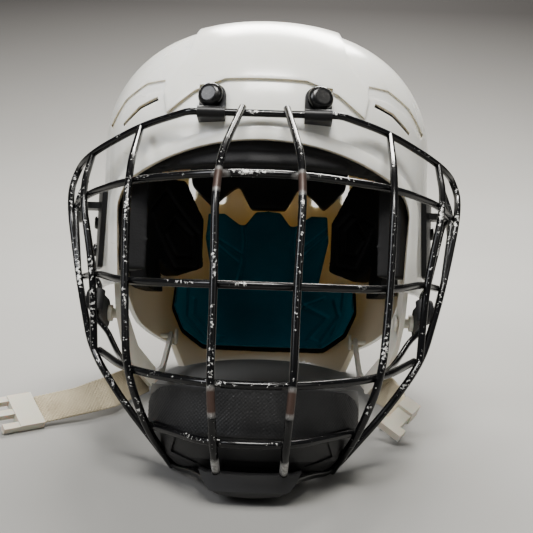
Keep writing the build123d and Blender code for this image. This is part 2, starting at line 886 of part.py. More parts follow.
# Ear loops: flat bands that hang from the cheeks, and the tails that meet them
loop_plan_shares = [
    (0.8524, 0.5333), (0.8229, 0.8), (0.6857, 1.2952),
]
loop_side_shares = [
    (0.6286, -0.7619), (0.7238, -1.0095), (0.9619, -1.2762), (1.2571, -1.4095),
]
tail_plan_shares = [
    (0.6848, 1.3048), (0.6629, 1.619), (0.6495, 2.0381),
]
tail_side_shares = [
    (1.3095, -1.4133), (1.5619, -1.3714), (1.9238, -1.1238),
]


def standing_band(plan_shares, side_shares, width, bend, side):
    """A flat band: its plan gives the bend across, its side view the path and the width."""
    with BuildPart() as band:
        with BuildSketch(Plane.XY.offset(-2 * shell_radius)):
            with BuildLine() as plan:
                FilletPolyline(*[(side * x, y) for x, y in shell_points(plan_shares)], radius=bend)
            trace(line_width=loop_thickness)
        extrude(amount=2 * shell_radius)
        with BuildSketch(Plane.YZ) as view:
            with BuildLine() as path:
                FilletPolyline(*shell_points(side_shares), radius=bend)
            trace(line_width=width)
            with Locations(path.line @ 0, path.line @ 1):
                Circle(width / 2)
        extrude(amount=side * 2 * shell_radius, mode=Mode.INTERSECT)
    return band.part


def loop_face(y):
    """Half width of the ear loop's middle, at a distance behind the forehead."""
    (x0, y0), (x1, y1) = shell_points(loop_plan_shares)[:2]
    return x0 + (x1 - x0) * (y - y0) / (y1 - y0)


def side_facing(side, x, y, z):
    """A plane that faces straight out to one side."""
    return Plane(origin=(side * x, y, z), x_dir=(0, side, 0), z_dir=(side, 0, 0))


def ear_loop(side):
    """One ear loop, with holes for its boss and its snap stud."""
    with BuildPart() as loop:
        add(standing_band(loop_plan_shares, loop_side_shares, loop_width, loop_bend, side))
        for y, z, radius in ((boss_y, boss_z, screw_radius), (snap_y, snap_z, knob_neck_radius)):
            hole = side_facing(side, 0, y, z)
            add(pin(hole, radius + seat_gap / 2, 2 * shell_radius), mode=Mode.SUBTRACT)
    return loop.part


def loop_tail(side):
    """One narrow tail, with an eye for its button."""
    end_y, end_z = shell_points(tail_side_shares)[-1]
    with BuildPart() as tail:
        add(standing_band(tail_plan_shares, tail_side_shares, tail_width, loop_bend, side))
        hole = side_facing(side, 0, end_y, end_z)
        add(pin(hole, tail_width / 4 + running_gap, 2 * shell_radius), mode=Mode.SUBTRACT)
    return tail.part


loop_slope = (loop_face(boss_y) - loop_face(snap_y)) / (snap_y - boss_y)
flange_gap = seat_gap + knob_radius * loop_slope
stud_inside = loop_face(snap_y) - loop_thickness / 2 - flange_gap
stud_outside = strap_x - strap_thickness / 2 - seat_gap
with BuildPart() as snap_studs:
    for side in (-1, 1):
        seat = side_facing(side, stud_inside, snap_y, snap_z)
        add(pin(seat, knob_radius, -knob_flange))
        add(pin(seat, knob_neck_radius, stud_outside - stud_inside))
        add(pin(side_facing(side, stud_outside, snap_y, snap_z), knob_radius, -knob_height))

boss_inside = loop_face(boss_y) - loop_thickness / 2 - flange_gap
with BuildPart() as loop_bosses:
    for side in (-1, 1):
        seat = side_facing(side, boss_inside, boss_y, boss_z)
        add(pin(seat, screw_radius, shell_radius / 3))
    add(front_inner, mode=Mode.INTERSECT)
    for side in (-1, 1):
        seat = side_facing(side, boss_inside, boss_y, boss_z)
        add(pin(seat, knob_radius, -knob_flange))

tail_end_y, tail_end_z = shell_points(tail_side_shares)[-1]
tail_end_x = shell_points(tail_plan_shares)[-1][0]
with BuildPart() as tail_buttons:
    for side in (-1, 1):
        seat = side_facing(side, tail_end_x - loop_thickness, tail_end_y, tail_end_z)
        add(pin(seat, tail_width / 4, shell_radius / 3))
    add(rear_inner, mode=Mode.INTERSECT)
    for side in (-1, 1):
        seat = side_facing(side, tail_end_x - loop_thickness, tail_end_y, tail_end_z)
        add(pin(seat, button_radius, -button_height))


# Cage straps: each wraps the straight run of the rear wire and snaps over its stud
def cage_strap(side):
    """One strap: wrap, plate, snap disc and pull tab."""
    centre = Vector(side * strap_x, strap_y, strap_z)
    along = Plane(origin=centre, x_dir=(side, 0, 0), z_dir=strap_axis)
    wrap_radius = rear_wire_radius + running_gap + strap_wrap_wall
    half = strap_wrap_length / 2
    with BuildPart() as strap:
        with BuildSketch(side_facing(side, strap_x - strap_thickness / 2, 0, 0)):
            near = strap_centre + strap_axis * half
            far = strap_centre - strap_axis * half
            with BuildLine():
                Polyline(
                    (side * near.Y, near.Z),
                    (side * snap_y, snap_z - snap_disc_radius),
                    (side * snap_y, snap_z + snap_disc_radius),
                    (side * far.Y, far.Z),
                    close=True,
                )
            make_face()
            with Locations((side * snap_y, snap_z)):
                Circle(snap_disc_radius)
        extrude(amount=strap_thickness)
        ahead = Vector(0, strap_axis.Z, -strap_axis.Y) * cos(radians(tab_turn))
        outward = Vector(side * sin(radians(tab_turn)), 0, 0)
        leaf = ahead + outward
        with BuildSketch(Plane(origin=centre, x_dir=leaf, z_dir=leaf.cross(strap_axis))):
            with Locations((tab_length / 2, tab_length / 4)):
                Ellipse(tab_length * leaf_share, strap_wrap_length / 2)
        extrude(amount=strap_thickness / 3, both=True)
        with BuildSketch(along.offset(-half)):
            Circle(wrap_radius)
        extrude(amount=strap_wrap_length)
        with BuildSketch(along.offset(-strap_run_half)):
            Circle(rear_wire_radius + running_gap)
        extrude(amount=2 * strap_run_half, mode=Mode.SUBTRACT)
    return strap.part


# Chin cup and its padded face
def turned(profile, turn, edge=0):
    """A closed (radius, height) profile turned both ways about the chin's upright line."""
    upright = Plane(origin=(0, chin_y, 0), x_dir=(0, -1, 0), z_dir=(-1, 0, 0))
    with BuildPart() as form:
        with BuildSketch(upright) as face:
            with BuildLine():
                Polyline(*profile, close=True)
            make_face()
            if edge:
                fillet(face.vertices(), edge)
        revolve(axis=Axis((0, chin_y, 0), (0, 0, 1)), revolution_arc=turn)
        mirror(about=Plane.YZ)
    return form.part


chin_pad_inside = chin_pad_radius - chin_pad_thickness
chin_pad_shares = [
    (0, -1.4265), (0.3431, -1.4314), (0.4559, -1.4461), (0.5098, -1.4853), (0.5343, -1.5392),
    (0.5343, -1.598), (0.5098, -1.6373), (0.4314, -1.6569), (0, -1.6765),
]
with BuildPart() as chin_pad:
    pad_profile = [
        (chin_pad_inside, chin_pad_top),
        (chin_pad_radius, chin_pad_top),
        (chin_pad_radius, chin_pad_bottom),
        (chin_pad_inside, chin_pad_bottom),
    ]
    add(turned(pad_profile, chin_pad_turn, chin_pad_edge))
    pad_face = both_sides(shell_points(chin_pad_shares))
    add(front_view_block(pad_face, -overrun, chin_y), mode=Mode.INTERSECT)
    add(wire(across(chin_wire_shares), wire_radius + seat_gap), mode=Mode.SUBTRACT)
    add(wire(cage_points(cheek_wire_shares), wire_radius + seat_gap), mode=Mode.SUBTRACT)
    split(bisect_by=Plane.YZ, keep=Keep.TOP)
    mirror(about=Plane.YZ)

cup_outside = chin_pad_inside - seat_gap
cup_knee = cup_outside * knee_share
cup_toe = cup_outside * toe_share
cup_face = [
    (cup_outside, chin_pad_top - cup_wall),
    (cup_outside, chin_pad_bottom),
    (cup_knee, lip_top + 2 * cup_wall),
    (cup_toe, lip_top - cup_wall),
]
cup_profile = cup_face + [(radius - cup_wall, z) for radius, z in reversed(cup_face)]
core_edge = [(radius - pocket_depth, z) for radius, z in cup_face]
cup_core = turned(core_edge + [(0, core_edge[-1][1]), (0, core_edge[0][1])], cup_turn)
cup_trim_shares = [
    (-0.1143, -1.2381), (0.381, -1.2381), (0.381, -1.581), (-0.0381, -1.4952),
]
cup_window_shares = [
    (0.2451, -1.6863), (0.3725, -1.6863), (0.402, -1.7647), (0.2598, -1.8137),
]
cup_slot_shares = [
    (0, -1.7745), (0.1373, -1.7745), (0.1373, -1.8235), (0, -1.8235),
]
bar_shares = [
    (0, -1.8431), (0.2059, -1.8382), (0.2451, -1.8235), (0.2206, -1.8775), (0.1912, -1.9167),
    (0.1373, -1.9412), (0, -1.951),
]
with BuildPart() as chin_bar:
    bar_profile = [
        (bar_radius, bar_top),
        (bar_radius, bar_top - bar_face),
        (bar_radius - bar_depth / 3, bar_bottom),
        (bar_radius - bar_depth, bar_bottom),
        (bar_radius - bar_depth, bar_top),
    ]
    add(turned(bar_profile, cup_turn))
    bar_front = both_sides(shell_points(bar_shares))
    add(front_view_block(bar_front, -overrun, chin_y), mode=Mode.INTERSECT)

with BuildPart() as chin_cup:
    add(turned(cup_profile, cup_turn))
    add(side_view_block(shell_points(cup_trim_shares)), mode=Mode.SUBTRACT)
    windows = [both_sides(shell_points(cup_slot_shares))]
    for side in (-1, 1):
        windows.append([(side * x, z) for x, z in shell_points(cup_window_shares)])
    for window in windows:
        with BuildPart(mode=Mode.PRIVATE) as pocket:
            add(front_view_block(window, -overrun, chin_y))
            add(cup_core, mode=Mode.SUBTRACT)
        add(pocket.part, mode=Mode.SUBTRACT)
    add(chin_bar.part)
    split(bisect_by=floor_plane, keep=Keep.TOP)
    add(wire(perimeter[-6:], wire_radius + seat_gap), mode=Mode.SUBTRACT)
    add(wire(cage_points(centre_wire_shares), wire_radius + seat_gap), mode=Mode.SUBTRACT)
    add(wire(cage_points(cheek_wire_shares), wire_radius + seat_gap), mode=Mode.SUBTRACT)
    split(bisect_by=Plane.YZ, keep=Keep.TOP)
    mirror(about=Plane.YZ)


# Chin strap, laid on the table: places are in the table's own frame, heights above its top
def laid_plane(x, y, z, heading, tilt, climb=0):
    """A cross section's plane: X runs across the strip, Y through it and Z along its heading."""
    level = Vector(sin(radians(heading)), -cos(radians(heading)), 0)
    ahead = Vector(cos(radians(heading)), sin(radians(heading)), 0) * cos(radians(climb))
    ahead = ahead + Vector(0, 0, sin(radians(climb)))
    up = level.cross(ahead)
    over = level * cos(radians(tilt)) + up * sin(radians(tilt))
    return Plane(origin=(x * shell_radius, y * shell_radius, z * shell_radius), x_dir=over, z_dir=ahead)


def laid_strip(stations):
    """Webbing lofted through its stations of place, heading and tilt."""
    with BuildPart() as strap:
        for station in stations:
            with BuildSketch(laid_plane(*station)):
                Rectangle(webbing_width, webbing_thickness)
        loft(ruled=True)
    return strap.part


def laid_block(station, width, thickness, length, shift=0):
    """A block standing on a station's plane, shifted across it."""
    with BuildPart() as block:
        with BuildSketch(laid_plane(*station)):
            with Locations((shift, 0)):
                Rectangle(width, thickness)
        extrude(amount=length)
    return block.part


long_strap_shares = [
    (-0.7549, 0.8725, 0.1157, -105.5, 88), (-0.8137, 0.6666, 0.1235, -106, 80),
    (-0.902, 0.451, 0.1274, -130, 52), (-1.049, 0.3284, 0.1059, -142, 36),
    (-1.2598, 0.1863, 0.0863, -145, 34),
]
short_strap_shares = [
    (0.7549, 0.8725, 0.1157, -74.5, -88), (0.8137, 0.6666, 0.1235, -76, -80),
    (0.8186, 0.451, 0.1127, -93, -55), (0.799, 0.2843, 0.098, -97, -40),
]
buckle_shares = (-1.2706, 0.1784, 0.0882, -141, 33)
receiver_shares = (0.7401, 0.0343, 0.0882, 50, -30)

with BuildPart() as strap_buckle:
    add(laid_block(buckle_shares, buckle_width, buckle_thickness, buckle_length))
    for step in (-1, 0, 1):
        shift = step * (buckle_width / 2 - prong_width / 2)
        reach = buckle_length + prong_length
        add(laid_block(buckle_shares, prong_width, buckle_thickness * dome_share, reach, shift))

receiver_station = receiver_shares + (receiver_climb,)
mouth = laid_plane(*receiver_station).offset(receiver_bar + receiver_neck_length)
with BuildPart() as strap_receiver:
    add(laid_block(receiver_station, receiver_width, receiver_thickness / 2, receiver_bar))
    neck_reach = receiver_bar + receiver_neck_length + receiver_wall
    add(laid_block(receiver_station, receiver_neck_width, receiver_thickness / 2, neck_reach))
    with BuildSketch(mouth):
        Rectangle(receiver_thickness, receiver_thickness)
    extrude(amount=receiver_length)
    with BuildSketch(mouth.offset(2 * receiver_wall)):
        Rectangle(receiver_thickness - 2 * receiver_wall, receiver_thickness - 2 * receiver_wall)
    extrude(amount=receiver_length, mode=Mode.SUBTRACT)


# Every piece in its stance: tipped back, raised and moved over the middle of its footprint
stance = Location((0, stand_shift, stand_height)) * Location((0, 0, 0), (-pitch, 0, 0))
pieces = {
    "front_shell": front_shell.part,
    "rear_shell": rear_shell.part,
    "brow_pad": brow_pad.part,
    "crown_pad_front": crown_pad_front.part,
    "crown_pad_rear": crown_pad_rear.part,
    "temple_pad_left": temple_pad(-1),
    "temple_pad_right": temple_pad(1),
    "side_pad_left": side_pad(-1),
    "side_pad_right": side_pad(1),
    "occipital_pad": occipital_pad.part,
    "neck_pad_backing": neck_pad_backing.part,
    "neck_pad": neck_pad.part,
    "ear_loop_left": ear_loop(-1),
    "ear_loop_right": ear_loop(1),
    "ear_loop_bosses": loop_bosses.part,
    "snap_studs": snap_studs.part,
    "loop_tail_left": loop_tail(-1),
    "loop_tail_right": loop_tail(1),
    "tail_buttons": tail_buttons.part,
    "wire_clip_left": wire_clip(-1),
    "wire_clip_right": wire_clip(1),
    "clip_screws": clip_screws.part,
    "clip_nuts": clip_nuts.part,
    "size_screws": size_screws.part,
    "size_nuts": size_nuts.part,
    "side_clip_left": side_clip(-1),
    "side_clip_right": side_clip(1),
    "side_clip_screws": side_clip_screws.part,
    "cage_frame": cage_frame.part,
    "cage_strap_left": cage_strap(-1),
    "cage_strap_right": cage_strap(1),
    "chin_cup": chin_cup.part,
    "chin_pad": chin_pad.part,
}
laid_pieces = {
    "chin_strap_long": laid_strip(long_strap_shares),
    "chin_strap_short": laid_strip(short_strap_shares),
    "strap_buckle": strap_buckle.part,
    "strap_receiver": strap_receiver.part,
}
placed = {name: piece.moved(stance) for name, piece in pieces.items()}
placed.update({name: piece.moved(Location((0, stand_shift, 0))) for name, piece in laid_pieces.items()})
for name, whole in placed.items():
    whole.label = name
    export_step(whole, f"parts/{name}.step")
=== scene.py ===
import math

import bpy
import numpy as np
from mathutils import Matrix, Vector


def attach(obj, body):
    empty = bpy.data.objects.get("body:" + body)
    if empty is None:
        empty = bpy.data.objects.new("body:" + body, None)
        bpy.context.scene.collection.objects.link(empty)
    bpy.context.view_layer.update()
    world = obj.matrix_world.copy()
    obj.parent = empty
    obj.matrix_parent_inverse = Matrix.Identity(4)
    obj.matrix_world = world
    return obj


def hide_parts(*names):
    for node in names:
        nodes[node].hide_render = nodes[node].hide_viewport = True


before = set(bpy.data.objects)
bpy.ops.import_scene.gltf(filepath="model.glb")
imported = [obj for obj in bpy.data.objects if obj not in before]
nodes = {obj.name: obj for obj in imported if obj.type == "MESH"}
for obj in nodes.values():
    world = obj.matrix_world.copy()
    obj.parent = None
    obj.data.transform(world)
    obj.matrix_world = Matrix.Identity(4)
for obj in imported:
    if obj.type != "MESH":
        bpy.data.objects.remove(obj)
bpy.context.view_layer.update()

# Camera. The photograph was taken from close in front of the cage with a long lens, a little
# above the table and tipped slightly to one side. Places on the helmet are given as it is worn,
# in millimetres from the forehead and the cage's hinge wire; the table stance tips them back.
mm_per_metre = 1000
stance_pitch = math.radians(15)
stance_height_mm = 185
stance_shift_mm = -68


def worn(x, y, z):
    """A place on the helmet as it is worn, in millimetres, as a place in the scene."""
    back = y * math.cos(stance_pitch) + z * math.sin(stance_pitch) + stance_shift_mm
    up = -y * math.sin(stance_pitch) + z * math.cos(stance_pitch) + stance_height_mm
    return Vector((x, back, up)) / mm_per_metre


def worn_turn(x, y, z):
    """A direction on the helmet as it is worn, as a direction in the scene."""
    return (worn(x, y, z) - worn(0, 0, 0)).normalized()


camera_place = worn(12.3, -541.9, -139.3)
camera_aim = worn(3.83, 0, -82.3)
camera_roll = math.radians(1.84)
photo_px = 533
focal_px = 1018
sensor_mm = 36
forward = (camera_aim - camera_place).normalized()
across = forward.cross(Vector((0, 0, 1))).normalized()
upward = across.cross(forward)
across, upward = (
    across * math.cos(camera_roll) + upward * math.sin(camera_roll),
    upward * math.cos(camera_roll) - across * math.sin(camera_roll),
)
camera_data = bpy.data.cameras.new("camera")
camera_data.sensor_width = sensor_mm
camera_data.lens = sensor_mm * focal_px / photo_px
camera_data.clip_start = 0.01
camera = bpy.data.objects.new("camera", camera_data)
camera.matrix_world = Matrix.Translation(camera_place) @ Matrix(
    (across, upward, -forward)
).transposed().to_4x4()
bpy.context.scene.collection.objects.link(camera)
bpy.context.scene.camera = camera


# Table and backdrop. One sweep of pale grey painted board: flat under the helmet, then curving up
# behind it. Its colour carries painted shade: darker near the camera than behind the helmet, and
# fading to dark grey towards the top of the picture, where the board leaves the light.
def linear(hex_colour):
    """An sRGB hex value as the linear colour, with its alpha, that a shader takes."""
    parts = [int(hex_colour[i : i + 2], 16) / 255 for i in (0, 2, 4)]
    return tuple(p / 12.92 if p <= 0.04045 else ((p + 0.055) / 1.055) ** 2.4 for p in parts) + (1,)


def add_node(tree, kind, settings=None, values=None, links=None):
    """Adds a node, with its settings, its sockets' values and what feeds them."""
    made = tree.nodes.new(kind)
    for name, value in (settings or {}).items():
        setattr(made, name, value)
    for name, value in (values or {}).items():
        made.inputs[name].default_value = value
    for name, source in (links or {}).items():
        tree.links.new(source, made.inputs[name])
    return made


def new_material(name):
    """A bare material: its tree and its output node, ready for a shader."""
    material = bpy.data.materials.new(name)
    material.use_nodes = True
    tree = material.node_tree
    tree.nodes.clear()
    return material, tree, add_node(tree, "ShaderNodeOutputMaterial")


def new_piece(name, mesh, material):
    """Puts a mesh in the scene under a plain name."""
    piece = bpy.data.objects.new(name, mesh)
    bpy.context.scene.collection.objects.link(piece)
    piece.data.materials.clear()
    piece.data.materials.append(material)
    return piece


def object_place(tree):
    """Where a point lies, in metres."""
    return add_node(tree, "ShaderNodeTexCoord").outputs["Object"]


def noise(tree, place, per_metre, detail, roughness=0.5):
    """Soft noise with about so many patches to the metre."""
    values = {"Scale": per_metre, "Detail": detail, "Roughness": roughness}
    return add_node(tree, "ShaderNodeTexNoise", values=values, links={"Vector": place}).outputs["Fac"]


def ramp(tree, factor, stops):
    """A colour ramp over a factor, from (place, hex colour) stops."""
    made = add_node(tree, "ShaderNodeValToRGB", links={"Fac": factor})
    for element, (place, colour) in zip(made.color_ramp.elements, stops):
        element.position = place
        element.color = linear(colour)
    return made.outputs["Color"]


def lifted(tree, value, low, high, to_low=0.0, to_high=1.0):
    """A value moved from one range to another and held inside it."""
    limits = {"From Min": low, "From Max": high, "To Min": to_low, "To Max": to_high}
    made = add_node(tree, "ShaderNodeMapRange", {"clamp": True}, limits, {"Value": value})
    return made.outputs["Result"]


def mixed(tree, factor, first, second):
    """Two colours mixed by a factor; the second is a hex value."""
    factor_socket, first_socket, second_socket, colour_result = 0, 6, 7, 2
    made = add_node(
        tree,
        "ShaderNodeMix",
        {"data_type": "RGBA"},
        {second_socket: linear(second)},
        {factor_socket: factor, first_socket: first},
    )
    return made.outputs[colour_result]


def surface(tree, output, values, links):
    """The material's one shader, joined to its output."""
    shader = add_node(tree, "ShaderNodeBsdfPrincipled", values=values, links=links)
    tree.links.new(shader.outputs[0], output.inputs["Surface"])


board_near, board_far = -0.35, 0.5
near_painted_shade, far_painted_light = 0.82, 1.08
top_shade_start, top_shade_end = 0.04, 0.36
board, tree, output = new_material("painted_board")
place = object_place(tree)
tone = ramp(tree, noise(tree, place, 3, 4), [(0.3, "8b8a87"), (0.7, "91908d")])
parted = add_node(tree, "ShaderNodeSeparateXYZ", links={"Vector": place})
# Painted shade and light: the board's colour is scaled darker near the camera and lighter far behind
# the helmet.
depth = lifted(tree, parted.outputs["Y"], board_near, board_far, near_painted_shade, far_painted_light)
depth_shaded = add_node(
    tree, "ShaderNodeVectorMath", {"operation": "SCALE"}, links={0: tone, "Scale": depth}
)
# Painted shade: higher up the sweep the colour fades to dark grey, where the board leaves the light.
painted_top_shade = lifted(tree, parted.outputs["Z"], top_shade_start, top_shade_end)
tone = mixed(tree, painted_top_shade, depth_shaded.outputs[0], "373534")
surface(tree, output, {"Roughness": 0.75, "Specular IOR Level": 0.3}, {"Base Color": tone})

board_half_width = 2.2
board_front, bend_start, bend_radius, board_top = -1.6, 0.7, 0.5, 2.4
bend_steps = 24
profile = [(board_front, 0.0), (bend_start, 0.0)]
for step in range(1, bend_steps + 1):
    turn = math.radians(90 * step / bend_steps)
    back = bend_start + bend_radius * math.sin(turn)
    profile.append((back, bend_radius * (1 - math.cos(turn))))
profile.append((bend_start + bend_radius, board_top))
mesh = bpy.data.meshes.new("backdrop")
corners = [(side * board_half_width, y, z) for y, z in profile for side in (-1, 1)]
faces = [(2 * i, 2 * i + 1, 2 * i + 3, 2 * i + 2) for i in range(len(profile) - 1)]
mesh.from_pydata(corners, [], faces)
mesh.shade_smooth()
backdrop = new_piece("backdrop", mesh, board)


# Studio light. A wide softbox above and behind the helmet, so that its shadow falls towards the
# camera, a second above the camera, which lights the forehead and puts long highlights on the
# cage, and two weak side panels that fill the cage.
def softbox(name, place, aim, width, height, watts, tint):
    """A rectangular panel of soft light that faces a point."""
    data = bpy.data.lights.new(name, "AREA")
    data.shape = "RECTANGLE"
    data.size, data.size_y = width, height
    data.energy = watts
    data.color = linear(tint)[:3]
    lamp = bpy.data.objects.new(name, data)
    lamp.location = place
    lamp.rotation_mode = "QUATERNION"
    lamp.rotation_quaternion = (Vector(aim) - Vector(place)).to_track_quat("-Z", "Y")
    bpy.context.scene.collection.objects.link(lamp)


softbox("top_light", (0.1, 0.85, 1.02), (0, -0.02, 0.1), 0.8, 0.45, 50, "fffcf6")
softbox("front_light", (0.0, -0.62, 1.25), (0, -0.02, 0.2), 0.6, 0.35, 27, "fffdf8")
softbox("left_light", (-1.0, -0.8, 1.0), (0, -0.05, 0.12), 0.5, 0.7, 12, "f8faff")
softbox("right_light", (1.0, -0.8, 1.0), (0, -0.05, 0.12), 0.5, 0.7, 2, "fffcf6")
world = bpy.data.worlds.new("studio")
world.use_nodes = True
ambient = world.node_tree.nodes["Background"].inputs
ambient["Color"].default_value = linear("dfe0e2")
ambient["Strength"].default_value = 0.2
bpy.context.scene.world = world


# Front and rear shells. Injection moulded high density polyethylene in warm white, a softly shining
# skin with fine scuffs, greyed where hands and boards have rubbed it, and creamier on the inside:
# partly the shell's own aged inside, partly a painted glow of light coming through the thin shell.
def bumped(tree, height, strength, distance):
    """A bump from a height field; the distance is in metres."""
    values = {"Strength": strength, "Distance": distance}
    return add_node(tree, "ShaderNodeBump", values=values, links={"Height": height}).outputs[0]


def dress(name, material):
    """Gives a CAD node its material, leaving its own mesh as it is."""
    nodes[name].data.materials.clear()
    nodes[name].data.materials.append(material)


head_middle = worn(0, 130, -30)
scratches_per_metre, scratch_turn = (60.0, 60.0, 900.0), (0.4, 0.7, 0.2)
scratch_edges, scratch_grey = (0.66, 0.74), 0.35
scratch_depth = 0.0002
polyethylene, tree, output = new_material("moulded_polyethylene")
place = object_place(tree)
patches = noise(tree, place, 14, 5, 0.6)
stretched = add_node(
    tree,
    "ShaderNodeMapping",
    values={"Scale": scratches_per_metre, "Rotation": scratch_turn},
    links={"Vector": place},
)
scratches = noise(tree, stretched.outputs["Vector"], 1, 3)
skin = ramp(tree, patches, [(0.3, "e6e5dd"), (0.6, "f2f1ea")])
skin = mixed(tree, lifted(tree, scratches, *scratch_edges, 0.0, scratch_grey), skin, "b9b7ad")
outward = add_node(
    tree, "ShaderNodeVectorMath", {"operation": "SUBTRACT"}, {1: head_middle}, {0: place}
)
normal = add_node(tree, "ShaderNodeTexCoord").outputs["Normal"]
side = add_node(
    tree,
    "ShaderNodeVectorMath",
    {"operation": "DOT_PRODUCT"},
    links={0: outward.outputs[0], 1: normal},
)
# Partly painted light: faces turned towards the middle of the head take a cream tone, which stands
# for the aged inside and for light glowing through the shell.
skin = mixed(tree, lifted(tree, side.outputs["Value"], 0.01, -0.01), skin, "e6ddca")
surface(
    tree,
    output,
    {
        "IOR": 1.54,
        "Subsurface Weight": 0.5,
        "Subsurface Radius": (1.0, 0.93, 0.8),
        "Subsurface Scale": 0.004,
    },
    {
        "Base Color": skin,
        "Roughness": lifted(tree, patches, 0.3, 0.7, 0.16, 0.3),
        "Normal": bumped(tree, lifted(tree, scratches, *scratch_edges), 0.12, scratch_depth),
    },
)
shell_edge_radius = 0.0006
for name in ("front_shell", "rear_shell"):
    dress(name, polyethylene)
    nodes[name].modifiers.new("weld", "WELD").merge_threshold = 1e-5
    edge = nodes[name].modifiers.new("edge", "BEVEL")
    edge.width = shell_edge_radius
    edge.segments = 2
    edge.limit_method = "ANGLE"
    edge.angle_limit = math.radians(35)
    edge.harden_normals = True


# Cage. Welded steel wire coated in glossy black enamel, knocked and chipped down to pale bare metal
# by sticks and pucks, most of all along the front of each wire; rubbed brown at the inner bends.
def added(tree, first, second, operation="ADD"):
    """Two values added, or joined by another sum; either may be a plain number."""
    made = add_node(tree, "ShaderNodeMath", {"operation": operation})
    for socket, value in zip(made.inputs, (first, second)):
        if isinstance(value, (int, float)):
            socket.default_value = value
        else:
            tree.links.new(value, socket)
    return made.outputs[0]


def near(tree, place, spots, reach):
    """1 at any of the spots, falling to 0 at reach from it, in metres."""
    core_share = 0.6
    total = 0.0
    for spot in spots:
        gap = add_node(
            tree, "ShaderNodeVectorMath", {"operation": "DISTANCE"}, {1: spot}, {0: place}
        )
        close = lifted(tree, gap.outputs["Value"], reach, core_share * reach)
        total = added(tree, total, close, "MAXIMUM")
    return total


def facing_share(tree, direction):
    """How squarely a surface faces a direction: 1 straight at it, 0 across it."""
    normal = add_node(tree, "ShaderNodeTexCoord").outputs["Normal"]
    made = add_node(
        tree, "ShaderNodeVectorMath", {"operation": "DOT_PRODUCT"}, {1: direction}, {0: normal}
    )
    return made.outputs["Value"]


chip_size, knock_size, knock_share = 0.0017, 0.02, 0.6
front_gain = 0.13
bare_from, bare_to = 1.043, 1.073
wear_reach, chip_depth = 0.008, 0.0003
rubbed_bends = [
    worn(-20.8, -55, -46), worn(20.9, -55, -46.6), worn(-18.2, -71, -153), worn(18.4, -71, -152.5),
]
bare_ends = [worn(-15.4, -52, -182.2), worn(17.3, -52, -182.4)]
enamel, tree, output = new_material("chipped_enamel")
place = object_place(tree)
chips = noise(tree, place, 1 / chip_size, 4, 0.7)
knocks = noise(tree, place, 1 / knock_size, 2)
front = lifted(tree, facing_share(tree, worn_turn(0, -1, 0.3)), 0.55, 0.95, 0.0, front_gain)
rubbed = near(tree, place, rubbed_bends, wear_reach)
ended = near(tree, place, bare_ends, wear_reach)
struck = added(tree, added(tree, chips, added(tree, knocks, knock_share, "MULTIPLY")), front)
bare = lifted(tree, struck, bare_from, bare_to)
bare = added(tree, bare, added(tree, rubbed, ended, "MAXIMUM"), "MAXIMUM")
sunk = bumped(tree, bare, -0.4, chip_depth)
coat = add_node(
    tree,
    "ShaderNodeBsdfPrincipled",
    values={
        "Base Color": linear("060607"), "Roughness": 0.2, "IOR": 1.5, "Specular IOR Level": 0.35,
    },
    links={"Normal": sunk},
)
pale = mixed(tree, rubbed, ramp(tree, chips, [(0.4, "8e8d8b"), (0.6, "c9c8c5")]), "3c2c25")
metal = add_node(
    tree,
    "ShaderNodeBsdfPrincipled",
    values={"Roughness": 0.45, "Metallic": 0.35},
    links={"Base Color": pale, "Normal": sunk},
)
whole = add_node(
    tree, "ShaderNodeMixShader", links={0: bare, 1: coat.outputs[0], 2: metal.outputs[0]}
)
tree.links.new(whole.outputs[0], output.inputs["Surface"])
dress("cage_frame", enamel)


# Clips, screws and nuts. Moulded black nylon clips are held to the shells by black oxide screws;
# the nuts, and the screws that lock the two shells together, are plated steel.
def grained(name, colour, per_metre, strength, values):
    """A moulded plastic or rubber of one colour with a fine grain."""
    grain_depth = 0.0001
    material, tree, output = new_material(name)
    grain = noise(tree, object_place(tree), per_metre, 2)
    links = {"Normal": bumped(tree, grain, strength, grain_depth)}
    surface(tree, output, {"Base Color": linear(colour), **values}, links)
    return material


def toned(name, per_metre, detail, stops, values):
    """A smooth material whose colour drifts between two tones."""
    material, tree, output = new_material(name)
    tone = ramp(tree, noise(tree, object_place(tree), per_metre, detail), stops)
    surface(tree, output, values, {"Base Color": tone})
    return material


nylon = grained(
    "moulded_nylon", "0b0b0c", 900, 0.15, {"Roughness": 0.42, "IOR": 1.53, "Specular IOR Level": 0.3}
)
oxide = toned(
    "black_oxide_steel",
    400,
    3,
    [(0.45, "070708"), (0.75, "262524")],
    {"Roughness": 0.24, "Metallic": 0.2},
)
steel = toned(
    "plated_steel", 300, 3, [(0.4, "8d8d8b"), (0.7, "b9b9b6")], {"Roughness": 0.35, "Metallic": 1.0}
)
for name in ("wire_clip_left", "wire_clip_right", "side_clip_left", "side_clip_right"):
    dress(name, nylon)
for name in ("clip_screws", "side_clip_screws"):
    dress(name, oxide)
for name in ("clip_nuts", "size_screws", "size_nuts"):
    dress(name, steel)


# Foam liner. Closed cell foam pads, moulded with rounded edges and shallow grooves and faced with a
# thin skin; the two at the back of the head are teal knit, the rest black. All are glued inside.
def celled(tree, place, per_metre, strength):
    """The dimpled face of foam or knit."""
    cell_depth = 0.0002
    cells = add_node(
        tree, "ShaderNodeTexVoronoi", values={"Scale": per_metre}, links={"Vector": place}
    )
    return bumped(tree, cells.outputs["Distance"], strength, cell_depth)


foam, tree, output = new_material("skinned_foam")
place = object_place(tree)
tone = ramp(tree, noise(tree, place, 30, 5), [(0.35, "0d0d0f"), (0.7, "161617")])
surface(
    tree,
    output,
    {"Roughness": 0.6, "Specular IOR Level": 0.22},
    {"Base Color": tone, "Normal": celled(tree, place, 900, 0.25)},
)

